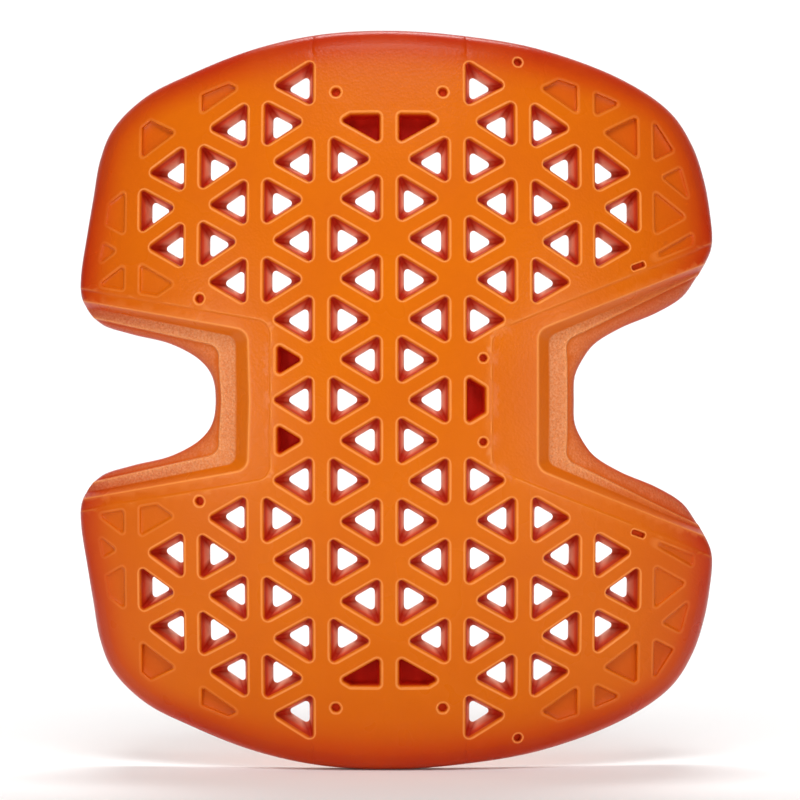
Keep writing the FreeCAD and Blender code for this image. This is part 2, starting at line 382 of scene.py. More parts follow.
def notch_line(side, name):
    """One line round a notch on the plan, from the shin arm's tip to the thigh arm's."""
    x_waist, x_corner, z_corner, z_far, radius = NOTCH_LINES[side][name]
    waist, corner = np.array([x_waist, 0.0]), np.array([x_corner, z_corner])
    outward = np.array([side * FAR_X, z_far]) - corner
    outward /= np.linalg.norm(outward)
    upward = (corner - waist) / np.linalg.norm(corner - waist)
    half_turn = math.acos(np.clip(upward @ outward, -1, 1)) / 2
    tangent = radius * math.tan(half_turn)
    centre_way = (outward - upward) / np.linalg.norm(outward - upward)
    centre = corner + centre_way * radius / math.cos(half_turn)
    arc_start, arc_end = corner - upward * tangent, corner + outward * tangent
    tip = corner + outward * (TIP_X - abs(x_corner)) / abs(outward[0])
    half = [waist] + stepped(waist, arc_start, 12)[:-1]
    for n in range(TURN_STEPS + 1):
        angle = 2 * half_turn * n / TURN_STEPS
        spoke = (arc_start - centre) * math.cos(angle) + upward * radius * math.sin(angle)
        half.append(centre + spoke)
    half += stepped(arc_end, tip, 40)
    lower = [p * np.array([1, -1]) for p in half[:0:-1]]
    return plan(lower + half)


def hub(bar, row):
    """Crossing of the lattice's bars."""
    return np.array([bar * BAR, row * PITCH])


OUTLINE = pad_outline()
LINES = {side: {name: notch_line(side, name) for name in NOTCH_LINES[side]} for side in (LEFT, RIGHT)}

# Hubs that the web's upper edge runs through, as (bar, row); its lower edge mirrors it.
WEB_ROWS = ((-2, 1.0), (-1, 1.5), (0, 1.0), (1, 1.5), (2, 1.0))
ZIGZAG = {half: np.array([hub(bar, half * row) for bar, row in WEB_ROWS]) for half in (THIGH, SHIN)}
WEB = np.vstack([ZIGZAG[SHIN], ZIGZAG[THIGH][::-1]])


def tab_line(half):
    """Where the end tab meets its panel, as a line on the plan."""
    turns = np.array([(-TAB_U, OVER_END), (-TAB_U, TAB_V), (TAB_U, TAB_V), (TAB_U, OVER_END)])
    path = [turns[0]]
    for a, b in zip(turns[:-1], turns[1:]):
        path += stepped(a, b, 16)
    return np.array(path) * np.array([1, half])


def measure(uv):
    """Distances inside the pad's edge and inside each notch line."""
    gaps = {"edge": np.maximum(distance(uv, closed(OUTLINE)), 0)}
    for side in (LEFT, RIGHT):
        for name, line in LINES[side].items():
            gaps[side, name] = -side * distance(uv, line)
    return gaps


def bend(t, half):
    """A line at 0 that turns into a slope of 1 past t = 0, rounded over half either side."""
    return np.where(t < -half, 0, np.where(t > half, t, (t + half) ** 2 / (4 * half)))


def notch_depth(gaps, side):
    """Depth of the front inside one notch's border."""
    step, brow, foot, lip = (gaps[side, name] for name in ("step", "brow", "foot", "lip"))
    across = brow / np.maximum(brow - foot, 1e-6)
    depth = STEP_DROP * np.clip((step + STEP_HALF) / (2 * STEP_HALF), 0, 1)
    slope = bend(across, SLOPE_ROUND) - bend(across - 1, SLOPE_ROUND)
    depth = depth + LEDGE_DROP * slope * (brow > SLOPE_START)
    ledge = foot / np.maximum(foot - lip, 1e-6)
    depth += LEDGE_TILT * np.clip(ledge, 0, 1)
    depth += LIP_STEP * np.clip((lip + LIP_HALF) / (2 * LIP_HALF), 0, 1)
    depth += LIP_GROOVE * np.clip(1 - np.abs(lip) / LIP_HALF, 0, 1)
    round_share = np.clip(lip, 0, None) / np.maximum(np.clip(lip, 0, None) + gaps["edge"], 1e-6)
    rest = NOTCH_EDGE_DROP - STEP_DROP - LEDGE_DROP - LEDGE_TILT - LIP_STEP
    return depth + rest * (1 - np.sqrt(np.maximum(1 - round_share ** 2, 0)))


def front_depth(uv, gaps):
    """Depth of the front surface below the plain dome."""
    edge = gaps["edge"]
    notch = notch_depth(gaps, LEFT) + notch_depth(gaps, RIGHT)
    to_step = np.maximum(gaps[LEFT, "step"], gaps[RIGHT, "step"])
    ends = smooth((np.abs(uv[:, 1]) - RIM_START) / RIM_FADE) * np.clip(-to_step / RIM_OFF_STEP, 0, 1)
    rim = RIM_DROP * bend((RIM_WIDTH - edge) / RIM_WIDTH, RIM_ROUND) * ends
    off_crease = np.abs(np.abs(uv[:, 0]) - CREASE_U)
    crease = CREASE_DEPTH * np.clip(1 - off_crease / CREASE_HALF, 0, 1)
    crease *= smooth((np.abs(uv[:, 1]) - CREASE_V) / CREASE_FADE)
    short = np.clip(EDGE_ROUND - edge, 0, EDGE_ROUND)
    fall = EDGE_ROUND - np.sqrt(np.maximum(EDGE_ROUND ** 2 - short ** 2, 0))
    total = notch + rim + crease + fall * (1 - NOTCH_SHARPER * np.clip(notch / NOTCH_FULL, 0, 1))
    return np.minimum(total, WALL - BACK_ROUND - THINNEST)


def back_depth(gaps):
    """Depth of the knee side, which is rounded at the pad's edge."""
    short = np.clip(BACK_ROUND - gaps["edge"], 0, BACK_ROUND)
    return WALL - (BACK_ROUND - np.sqrt(np.maximum(BACK_ROUND ** 2 - short ** 2, 0)))


# ---------------- the pieces

def piece_names(uv):
    """Name of the CAD node that each plan place belongs to."""
    names = np.where(uv[:, 1] > 0, "thigh_panel", "shin_panel").astype("<U24")
    half = np.where(uv[:, 1] > 0, "thigh", "shin")
    hand = np.where(uv[:, 0] > 0, "right", "left")
    tab = (np.abs(uv[:, 0]) < TAB_U) & (np.abs(uv[:, 1]) > TAB_V)
    wing = np.abs(uv[:, 0]) > WING_U
    border = inside(uv, LINES[LEFT]["step"]) | inside(uv, LINES[RIGHT]["step"])
    names[inside(uv, WEB)] = "knee_web"
    quarter = np.char.add(np.char.add(half, "_"), hand)
    names[tab] = np.char.add(half[tab], "_end_tab")
    names[wing] = np.char.add(quarter[wing], "_wing")
    arm = border & wing
    names[arm] = np.char.add(quarter[arm], "_arm")
    waist = border & ~wing
    names[waist] = np.char.add(hand[waist], "_waist_flange")
    return names


# ---------------- vents, pockets, dimples and dots
#
# An opening is (corners, rings, kind). Each ring is (how far it is inset from the corners' polygon,
# its corner radius, its depth), from the front down.

LIP_FLAT = 0.35
THROAT_INSET = 4.93
THROAT_RADIUS = 1.2
THROAT_ROUND = 0.6
LIP_HIGHLIGHTS = {1: 0.7, 2: 0.6, 3: 0.2}  # painted highlight on each ring of a lip

CELL_REACH = 0.9  # a clipped cell is cut this far past a joint line, because its mouth is inset further
DIMPLE_ROOM = 4.4
EDGE_GAP = 0.25
JOINT_GAP = 0.15

# Cells of the upper right quarter. Vents: bar, then first and last row. Others: bar, side, row.
VENT_ROWS = {0: (0.5, 2.5), 1: (0.0, 3.0), 2: (1.5, 3.5), 3: (2.0, 3.0)}
LONE_VENTS = [(1, RIGHT, 4), (4, LEFT, 2.5)]
BORDER_CELLS = (
    (3, LEFT, 4), (3, RIGHT, 4), (4, LEFT, 3.5), (4, RIGHT, 3.5), (4, RIGHT, 2.5), (5, LEFT, 3),
    (5, LEFT, 2), (4, LEFT, 1.5), (4, RIGHT, 1.5))
WAIST_POCKET = (1, RIGHT, 0.0)
TAB_POCKET_DEPTH = 6.5
WAIST_POCKET_DEPTH = 6.0

# Small round holes of the upper half, as x, z and reach, and the slot on the right wing.
DOTS = ((17.6, 101.3, 2.1), (-17.6, 101.3, 2.1), (30.7, 13.7, 1.8), (-62.5, 33.3, 2.1), (42.5, 111.8, 1.8))
DOT_DEPTH = 1.9
SLOT_X = 82.6
SLOT_Z = 44.4
SLOT_TURN = 0.38
SLOT_HALF = 3.0
SLOT_SHARE = 0.42  # its width over its length
SLOT_DEPTH = 1.6
SLOT_REACH = 1.2


def cell_corners(bar, side, row):
    """The three hubs round one cell, anticlockwise."""
    corners = [hub(bar, row - 0.5), hub(bar + side, row), hub(bar, row + 0.5)]
    return corners if side == RIGHT else corners[::-1]


def lip_rings(outer, inner, outer_radius, inner_radius, depth, steps=5):
    """Rings of a rounded lip: flat with the front, then over a quarter turn into the wall."""
    rings = [(outer - LIP_FLAT, outer_radius + 0.2, 0.0)]
    for n in range(steps + 1):
        angle = math.pi / 2 * n / steps
        share = math.sin(angle)
        rings.append((
            outer + (inner - outer) * share,
            outer_radius + (inner_radius - outer_radius) * share,
            depth * (1 - math.cos(angle))))
    return rings


def through_rings():
    """A vent: soft lip, sharp-cornered mouth, wall closing to a round-cornered throat."""
    rings = lip_rings(2.15, 3.15, 2.3, 0.75, 1.35)
    rings += [(3.3, 0.75, 2.6), (3.7, 0.85, 4.6), (4.3, 1.0, 6.6), (4.82, 1.15, 8.2)]
    rings.append((THROAT_INSET, THROAT_RADIUS, WALL - THROAT_ROUND))
    for n in range(1, 4):
        angle = math.pi / 2 * n / 3
        opened = 1 - math.cos(angle)
        rings.append((
            THROAT_INSET - THROAT_ROUND * opened,
            THROAT_RADIUS + 0.2 * opened,
            WALL - THROAT_ROUND + THROAT_ROUND * math.sin(angle)))
    return rings


def pocket_rings(depth):
    """A deep blind pocket."""
    rings = lip_rings(2.15, 3.2, 2.0, 0.8, 1.3)
    return rings + [(3.4, 0.75, depth * 0.5), (3.6, 0.7, depth - 0.5), (4.0, 0.5, depth)]


def dimple_rings(depth):
    """A shallow blind cell in the border."""
    return lip_rings(2.4, 3.3, 1.6, 0.8, 0.4, 4) + [(3.45, 0.7, depth - 0.15), (3.9, 0.5, depth)]


def dot_rings(depth, reach):
    """What is left of a clipped cell: a small round hole with a soft lip."""
    rings = lip_rings(0.0, 0.33 * reach, 0.85 * reach, 0.55 * reach, 0.6, 4)
    return rings + [(0.38 * reach, 0.5 * reach, depth - 0.3), (0.45 * reach, 0.4 * reach, depth)]


def edge_near(place_uv):
    """Outward direction at the nearest place of the pad's edge, and that place."""
    gaps = np.linalg.norm(OUTLINE - place_uv, axis=1)
    n = int(gaps.argmin())
    ahead = OUTLINE[(n + 1) % len(OUTLINE)] - OUTLINE[n - 1]
    return -leftwards(ahead[None])[0], OUTLINE[n]


def area(corners):
    """Area of a polygon."""
    p = np.array(corners)
    q = np.roll(p, -1, axis=0)
    return 0.5 * float((p[:, 0] * q[:, 1] - p[:, 1] * q[:, 0]).sum())


def clear_of_joints(ring):
    """True if an opening's outer ring keeps off the pad's edge, the step lines and the wing lines."""
    off_edge = distance(ring, closed(OUTLINE)).min()
    off_step = min(np.abs(distance(ring, LINES[side]["step"])).min() for side in (LEFT, RIGHT))
    past_wing = np.abs(ring[:, 0]) - WING_U
    on_one_side = (past_wing > 0).all() == (past_wing > 0).any()
    return (off_edge > EDGE_ROUND + EDGE_GAP and off_step > 2 * STEP_HALF + JOINT_GAP
            and abs(past_wing).min() > JOINT_GAP and on_one_side)


def fits(corners, offset):
    """True if a convex polygon still has room after every side moves inwards by offset."""
    left = list(corners)
    for a, b in zip(corners, corners[1:] + corners[:1]):
        side = (b - a) / np.linalg.norm(b - a)
        outward = np.array([side[1], -side[0]])
        left = clipped(left, outward, outward @ a - offset)
        if len(left) < 3:
            return False
    return area(left) > 1.0


def border_dimple(hand, half, cell):
    """One border cell, clipped off the pad's edge and the step line, or None if too little is left."""
    bar, side, row = cell
    corners = cell_corners(bar * hand, side * hand, row * half)
    outward, edge = edge_near(np.mean(corners, axis=0))
    margin = 4.5 if abs(edge[1]) < 70 else 6.3
    corners = clipped(corners, outward, outward @ edge - margin)
    step = LINES[hand]["step"]
    n = int(np.linalg.norm(step - np.mean(corners, axis=0), axis=1).argmin())
    n = min(max(n, 1), len(step) - 2)
    across = leftwards((step[n + 1] - step[n - 1])[None])[0]
    inside_notch = np.array([200.0 * hand, 0])
    if across @ (inside_notch - step[n]) < 0:
        across = -across
    corners = clipped(corners, across, across @ step[n] + CELL_REACH)
    if len(corners) < 3 or not fits(corners, DIMPLE_ROOM):
        return None
    corners = without_short_sides(corners, DIMPLE_ROOM)
    rings = dimple_rings(1.7 if abs(edge[1]) > 95 else 0.8)
    if corners and clear_of_joints(rounded_ring(corners, *rings[0][:2])):
        return corners, rings, "dimple"
    return None


def dots_and_slots():
    """The small round holes and the slots, as openings."""
    found = []
    spokes = [np.array([math.cos(math.pi * n / 3), math.sin(math.pi * n / 3)]) for n in range(6)]
    for half in (THIGH, SHIN):
        for x, z, reach in DOTS:
            centre = plan([(x, half * z)])[0]
            corners = [centre + reach / math.cos(math.pi / 6) * spoke for spoke in spokes]
            found.append((corners, dot_rings(DOT_DEPTH, reach), "dot"))
        centre = plan([(SLOT_X, half * SLOT_Z)])[0]
        long_way = np.array([math.cos(SLOT_TURN), half * math.sin(SLOT_TURN)]) * SLOT_HALF
        short_way = np.array([-long_way[1], long_way[0]]) * SLOT_SHARE
        corners = [centre - long_way - short_way, centre + long_way - short_way,
                   centre + long_way + short_way, centre - long_way + short_way]
        found.append((corners, dot_rings(SLOT_DEPTH, SLOT_REACH), "dot"))
    return found


def lattice():
    """Every opening, each cell once."""
    found = []
    seen = set()

    def add(corners, rings, kind):
        middle = tuple(np.round(np.mean(corners, axis=0), 3))
        if middle not in seen:
            seen.add(middle)
            found.append((corners, rings, kind))

    through = [
        (bar, side, row) for bar, (first, last) in VENT_ROWS.items()
        for row in np.arange(first, last + 1) for side in (LEFT, RIGHT)]
    for half in (THIGH, SHIN):
        for hand in (LEFT, RIGHT):
            for bar, side, row in through + LONE_VENTS:
                if (bar * hand, side * hand, row) != WAIST_POCKET:
                    add(cell_corners(bar * hand, side * hand, row * half), through_rings(), "vent")
            for cell in BORDER_CELLS:
                dimple = border_dimple(hand, half, cell)
                if dimple:
                    add(*dimple)
            pocket = clipped(
                cell_corners(0, hand, 3.5 * half), np.array([0.0, float(half)]), TAB_V + CELL_REACH)
            add(pocket, pocket_rings(TAB_POCKET_DEPTH), "pocket")
        left_limit = -LINES[LEFT]["step"][:, 0].max() + CELL_REACH
        pocket = clipped(cell_corners(-2, RIGHT, 0.5 * half), np.array([-1.0, 0.0]), left_limit)
        add(pocket, pocket_rings(WAIST_POCKET_DEPTH), "pocket")
    right_limit = LINES[RIGHT]["step"][:, 0].min() + CELL_REACH
    pocket = clipped(cell_corners(*WAIST_POCKET), np.array([1.0, 0.0]), right_limit)
    add(pocket, pocket_rings(WAIST_POCKET_DEPTH), "pocket")
    for opening in dots_and_slots():
        add(*opening)
    return found


# ---------------- meshing the plan

PLAN_U = 125  # the plan lies within these
PLAN_V = 130
FILL_SPACING = 2.3
FILL_ROWS = 0.866  # height of a triangle with sides of 1
FILL_CLEAR = 0.95
OPENING_CLEAR = 1.6
# Soft lines: insets from the edge (0.38 is half the rim's rounding), and beside the notch lines.
EDGE_LINES = (0.2, 0.6, 1.2, 1.9, EDGE_ROUND, RIM_WIDTH - 0.38, RIM_WIDTH + 0.38)
SLOPE_LINES = (-0.16, -0.09, 0.0, 0.09, 0.2, 0.8, 0.91, 1.0, 1.09)  # shares from brow to foot
LIP_LINES = (-0.7, -LIP_HALF, 0.0, LIP_HALF)
STEP_LINES = (-2 * STEP_HALF, -STEP_HALF, 0, STEP_HALF, 2 * STEP_HALF)


def border_lines():
    """Every line that the surface bends or divides along, as (points, is_loop, is_joint)."""
    lines = [(OUTLINE, True, True)]
    for amount in EDGE_LINES:
        lines.append((inset_loop(OUTLINE, amount), True, False))
    for side in (LEFT, RIGHT):
        named = LINES[side]
        for share in SLOPE_LINES:
            lines.append((named["brow"] * (1 - share) + named["foot"] * share, False, False))
        for amount in LIP_LINES:
            lines.append((beside(named["lip"], -side * amount), False, False))
        for amount in STEP_LINES:
            lines.append((beside(named["step"], -side * amount), False, amount == 0))
        wing = np.linspace(-PLAN_V, PLAN_V, 140)
        lines.append((np.stack([np.full_like(wing, side * WING_U), wing], axis=1), False, True))
    for half in (THIGH, SHIN):
        zigzag = ZIGZAG[half]
        fine = [zigzag[0]]
        for a, b in zip(zigzag[:-1], zigzag[1:]):
            fine += stepped(a, b, 12)
        lines += [(np.array(fine), False, True), (tab_line(half), False, True)]
        end = np.linspace(CREASE_V, OVER_END, 10) * half
        for side in (LEFT, RIGHT):
            for aside in (-CREASE_HALF, 0, CREASE_HALF):
                u = side * CREASE_U + aside
                lines.append((np.stack([np.full_like(end, u), end], axis=1), False, False))
    return lines


def in_box(points, loop, margin=0.0):
    """Numbers of the points inside a loop's bounding box."""
    low, high = loop.min(axis=0) - margin, loop.max(axis=0) + margin
    return np.nonzero(np.all((points > low) & (points < high), axis=1))[0]


def off_openings(line, loops):
    """True for the places of a line that keep clear of every opening."""
    clear = np.ones(len(line), bool)
    for loop in loops:
        near = in_box(line, loop, OPENING_CLEAR)
        if len(near):
            clear[near[distance(line[near], closed(loop)) > -OPENING_CLEAR]] = False
    return clear


def filling_points(loops, fixed):
    """Evenly spread places on the plan that keep clear of every line and opening."""
    rows = np.arange(-PLAN_V, PLAN_V, FILL_SPACING * FILL_ROWS)
    grid = []
    for n, v in enumerate(rows):
        us = np.arange(-PLAN_U, PLAN_U, FILL_SPACING) + (FILL_SPACING / 2 if n % 2 else 0)
        grid.append(np.stack([us, np.full_like(us, v)], axis=1))
    grid = np.vstack(grid)
    grid = grid[inside(grid, OUTLINE)]
    tree = point_tree(fixed)
    clear = np.array([tree.find((p[0], p[1], 0))[2] > FILL_CLEAR for p in grid])
    grid = grid[clear]
    for loop in loops:
        near = in_box(grid, loop)
        grid = np.delete(grid, near[inside(grid[near], loop)], axis=0)
    return grid


def mesh_plan(loops, mouths):
    """Places and triangles over the plan without the loops' insides, and the places of each loop.

    Soft lines stop short of the mouths, the same way for the front and the back.
    """
    points, edges, starts = [], [], []
    for line, is_loop, is_joint in border_lines():
        first = sum(len(p) for p in points)
        clear = np.ones(len(line), bool) if is_joint else off_openings(line, mouths)
        numbers = first + np.cumsum(clear) - 1
        points.append(line[clear])
        pairs = list(zip(range(len(line) - 1), range(1, len(line))))
        if is_loop:
            pairs.append((len(line) - 1, 0))
        edges += [(int(numbers[a]), int(numbers[b])) for a, b in pairs if clear[a] and clear[b]]
    for loop in loops:
        first = sum(len(p) for p in points)
        starts.append(first)
        points.append(loop)
        edges += [(first + n, first + (n + 1) % len(loop)) for n in range(len(loop))]
    fixed = np.vstack(points)
    allp = np.vstack([fixed, filling_points(loops, fixed)])
    out_points, _, faces, origins, _, _ = delaunay_2d_cdt(
        [Vector(p) for p in allp], edges, [], 0, 1e-6, True)
    uv = np.array([tuple(p) for p in out_points], float)
    went = np.full(len(allp), -1)
    for n, came in enumerate(origins):
        for old in came:
            went[old] = n
    tris = np.array([tuple(f) for f in faces], int)
    a, b, c = uv[tris[:, 0]], uv[tris[:, 1]], uv[tris[:, 2]]
    turn = (b[:, 0] - a[:, 0]) * (c[:, 1] - a[:, 1]) - (b[:, 1] - a[:, 1]) * (c[:, 0] - a[:, 0])
    tris[turn < 0] = tris[turn < 0][:, ::-1]
    middle = uv[tris].mean(axis=1)
    keep = inside(middle, OUTLINE) & (np.abs(turn) > 1e-9)
    for loop in loops:
        near = in_box(middle, loop)
        keep[near[inside(middle[near], loop)]] = False
    tris = tris[keep]
    return uv, tris, [went[s:s + len(loop)] for s, loop in zip(starts, loops)]


FLOOR_RINGS = 4
DIMPLE_START = 4.0  # dimples fade in from this far inside the edge
DIMPLE_FADE = 9.0
DIMPLE_LIP_HIGHLIGHT = 0.3
SHALLOWEST = 0.01


class Moulding:
    """Plan places of the whole moulding, each with what its depth and colour come from."""

    def __init__(self):
        self.uv, self.added, self.wall_share = [], [], []
        # the lip mark is a painted highlight along the lips of openings
        self.marks = {"corner": [], "blind": [], "shallow": [], "lip": []}
        self.count = 0

    def add(self, uv, added=0.0, wall_share=0.0, **marks):
        """Keep places and return their numbers; wall_share is 0 on the front and 1 on the back."""
        size = len(uv)
        self.uv.append(np.asarray(uv, float))
        self.added.append(np.broadcast_to(added, size))
        self.wall_share.append(np.broadcast_to(wall_share, size))
        for name, kept in self.marks.items():
            kept.append(np.broadcast_to(marks.get(name, 0.0), size))
        self.count += size
        return list(range(self.count - size, self.count))

    def finished(self):
        """All places, their depths, the front's depths there, distances from the lines, and marks."""
        uv, added, share = (np.concatenate(v) for v in (self.uv, self.added, self.wall_share))
        gaps = measure(uv)
        surface = front_depth(uv, gaps)
        sunk = surface * (1 - np.clip(added / WALL, 0, 1)) + added
        depth = sunk * (1 - share) + back_depth(gaps) * share
        marks = {name: np.concatenate(kept) for name, kept in self.marks.items()}
        return uv, depth, surface, gaps, marks


def sink_opening(moulding, opening, front_ring, back_ring, own):
    """Walls and floor of one opening."""
    corners, rings, kind = opening
    last = len(rings) - 1
    floor_rings = 0 if kind == "vent" else FLOOR_RINGS
    is_corner = np.array([n % RING_STEPS <= CORNER_STEPS for n in range(len(front_ring))], float)
    marks = {
        "corner": is_corner if kind == "vent" else 0.0, "blind": float(kind in ("pocket", "dot")),
        "shallow": float(kind == "dimple")}
    previous = front_ring
    for k in range(1, last + floor_rings + 1):
        ring = rounded_ring(corners, *rings[min(k, last)][:2])
        depth = rings[min(k, last)][2]
        # painted highlight on the lip's first rings, weaker in dimples
        lip = LIP_HIGHLIGHTS.get(k, 0.0)
        if k > last:
            ring += (ring.mean(axis=0) - ring) * (k - last) / (floor_rings + 1)
        if kind == "dimple":
            fade = smooth((distance(ring, closed(OUTLINE)) - DIMPLE_START) / DIMPLE_FADE)
            depth = depth * np.maximum(fade, SHALLOWEST)
            lip = lip * DIMPLE_LIP_HIGHLIGHT * fade
        if kind == "vent" and k == last:
            current = back_ring
        else:
            current = moulding.add(ring, depth, lip=lip, **marks)
        size = len(previous)
        own.extend([previous[i], previous[(i + 1) % size], current[(i + 1) % size], current[i]]
                   for i in range(size))
        previous = current
    if kind != "vent":
        centre = moulding.add(ring.mean(axis=0)[None], np.mean(depth), **marks)[0]
        own.extend([previous[i], previous[(i + 1) % size], centre] for i in range(size))


def close_sides(moulding, faces, front_uv, back_uv):
    """Walls round every piece, from its front's places to its back's."""
    back_start = len(front_uv)
    tree = point_tree(back_uv)
    for own in faces.values():
        borders = {}
        for face in own:
            for a, b in zip(face, face[1:] + face[:1]):
                if a < back_start and b < back_start:
                    if (b, a) in borders:
                        del borders[(b, a)]
                    else:
                        borders[(a, b)] = True
        columns = {}
        for end in dict.fromkeys(n for pair in borders for n in pair):
            place_uv = front_uv[end]
            under = tree.find((place_uv[0], place_uv[1], 0))[1]
            middle = moulding.add([place_uv, place_uv], 0.0, np.array([0.33, 0.67]))
            columns[end] = [end, *middle, back_start + under]
        for a, b in borders:
            for row in range(3):
                own.append([columns[b][row], columns[a][row], columns[a][row + 1], columns[b][row + 1]])


def build_moulding():
    """The whole moulding, and its faces grouped by piece."""
    openings = lattice()
    vents = [n for n, opening in enumerate(openings) if opening[2] == "vent"]
    mouths = [rounded_ring(corners, *rings[0][:2]) for corners, rings, _ in openings]
    throats = [rounded_ring(openings[n][0], *openings[n][1][-1][:2]) for n in vents]
    front_uv, front_tris, front_rings = mesh_plan(mouths, mouths)
    back_uv, back_tris, back_rings = mesh_plan(throats, mouths)
    moulding = Moulding()
    moulding.add(front_uv)
    moulding.add(back_uv, wall_share=1.0)
    back_start = len(front_uv)
    faces = {}
    for uv, tris, offset in ((front_uv, front_tris, 0), (back_uv, back_tris[:, ::-1], back_start)):
        names = piece_names(uv[tris].mean(axis=1))
        for name in np.unique(names):
            faces.setdefault(str(name), []).extend((tris[names == name] + offset).tolist())
    for n, opening in enumerate(openings):
        own = faces[str(piece_names(np.mean(opening[0], axis=0)[None])[0])]
        back_ring = list(back_rings[vents.index(n)] + back_start) if n in vents else None
        sink_opening(moulding, opening, list(front_rings[n]), back_ring, own)
    close_sides(moulding, faces, front_uv, back_uv)
    return moulding, faces


# ---------------- materials

# Linear colours. Ramps are (place, colour) stops: by painted shade on the front, by depth over WALL in
# openings, where they paint shade and light from behind.
FACE_SHADE_TONES = (
    (0.0, (0.67, 0.142, 0.001)), (0.35, (0.63, 0.12, 0.001)),
    (0.7, (0.53, 0.058, 0.0015)), (1.0, (0.44, 0.022, 0.001)))
# Painted shade and painted light in the vents: walls turn dark red a little way down and deepest red in the
# corners, then pale salmon towards the throat as painted light from behind.
SIDE_WALL_SHADE_AND_BACKLIGHT = (
    (0.1, (0.6, 0.09, 0.001)), (0.22, (0.52, 0.03, 0.002)), (0.4, (0.72, 0.08, 0.016)),
    (0.64, (0.9, 0.35, 0.21)), (0.9, (0.92, 0.56, 0.45)), (1.0, (0.64, 0.12, 0.002)))
CORNER_WALL_SHADE_AND_BACKLIGHT = (
    (0.1, (0.6, 0.08, 0.001)), (0.22, (0.46, 0.018, 0.001)), (0.6, (0.5, 0.022, 0.003)),
    (0.9, (0.7, 0.17, 0.08)), (1.0, (0.64, 0.12, 0.002)))
# Painted shade: pocket and dot floors turn deep red with depth.
POCKET_SHADE_TONES = (
    (0.08, (0.64, 0.09, 0.001)), (0.2, (0.56, 0.03, 0.001)), (0.42, (0.5, 0.008, 0.0008)))
MOTTLE = (0.54, 0.082, 0.001)
# Painted highlight colour along lips and notch lines.
LIP_HIGHLIGHT_COLOUR = (0.94, 0.34, 0.085)
LIP_HIGHLIGHT_SHARE = 0.85
LEDGE_SHEEN = (0.8, 0.36, 0.17)  # painted sheen on the ledges
LEDGE_SHEEN_SHARE = 0.45
FLOOR_TONES = ((0.9, 0.9, 0.9), (0.93, 0.93, 0.925))


def node_tree(name):
    """New node material, with its tree and its main shader."""
    material = bpy.data.materials.new(name)
    material.use_nodes = True
    nodes = material.node_tree.nodes
    return material, material.node_tree, nodes["Principled BSDF"]


def add_node(tree, kind, **values):
    """One node, with its properties and input values set."""
    node = tree.nodes.new(kind)
    for key, value in values.items():
        if key in node.inputs:
            node.inputs[key].default_value = value
        else:
            setattr(node, key, value)
    return node


def colour_ramp(tree, source, stops):
    """Colour ramp over (place, colour) stops."""
    ramp = tree.nodes.new("ShaderNodeValToRGB")
    elements = ramp.color_ramp.elements
    while len(elements) < len(stops):
        elements.new(0.5)
    for element, (position, colour) in zip(elements, stops):
        element.position = position
        element.color = (*colour, 1)
    tree.links.new(source, ramp.inputs["Fac"])
    return ramp.outputs["Color"]


def mixed(tree, factor, a, b):
    """Mix of two colours, each a socket or a tuple."""
    mix = add_node(tree, "ShaderNodeMix", data_type="RGBA")
    tree.links.new(factor, mix.inputs["Factor"])
    for socket, value in zip([s for s in mix.inputs if s.type == "RGBA"], (a, b)):
        if isinstance(value, tuple):
            socket.default_value = (*value, 1)
        else:
            tree.links.new(value, socket)
    return [s for s in mix.outputs if s.type == "RGBA"][0]


def ranged(tree, source, low, high, to_low, to_high):
    """Map Range from one span to another."""
    node = add_node(tree, "ShaderNodeMapRange", **{
        "From Min": low, "From Max": high, "To Min": to_low, "To Max": to_high})
    tree.links.new(source, node.inputs["Value"])
    return node.outputs["Result"]


def attribute(tree, name):
    """Value of a per-vertex attribute."""
    return add_node(tree, "ShaderNodeAttribute", attribute_name=name).outputs["Fac"]


def texture(tree, kind, **values):
    """Texture node over the object's own coordinates, in metres."""
    node = add_node(tree, kind, **values)
    where = tree.nodes.new("ShaderNodeTexCoord").outputs["Object"]
    tree.links.new(where, node.inputs["Vector"])
    return node


def combined(tree, operation, a, b):
    """Sum or product of two sockets."""
    node = add_node(tree, "ShaderNodeMath", operation=operation)
    tree.links.new(a, node.inputs[0])
    tree.links.new(b, node.inputs[1])
    return node.outputs[0]


def bumped(tree, height, below=None, **values):
    """Bump node, on top of another one's."""
    node = add_node(tree, "ShaderNodeBump", **values)
    tree.links.new(height, node.inputs["Height"])
    if below is not None:
        tree.links.new(below.outputs["Normal"], node.inputs["Normal"])
    return node


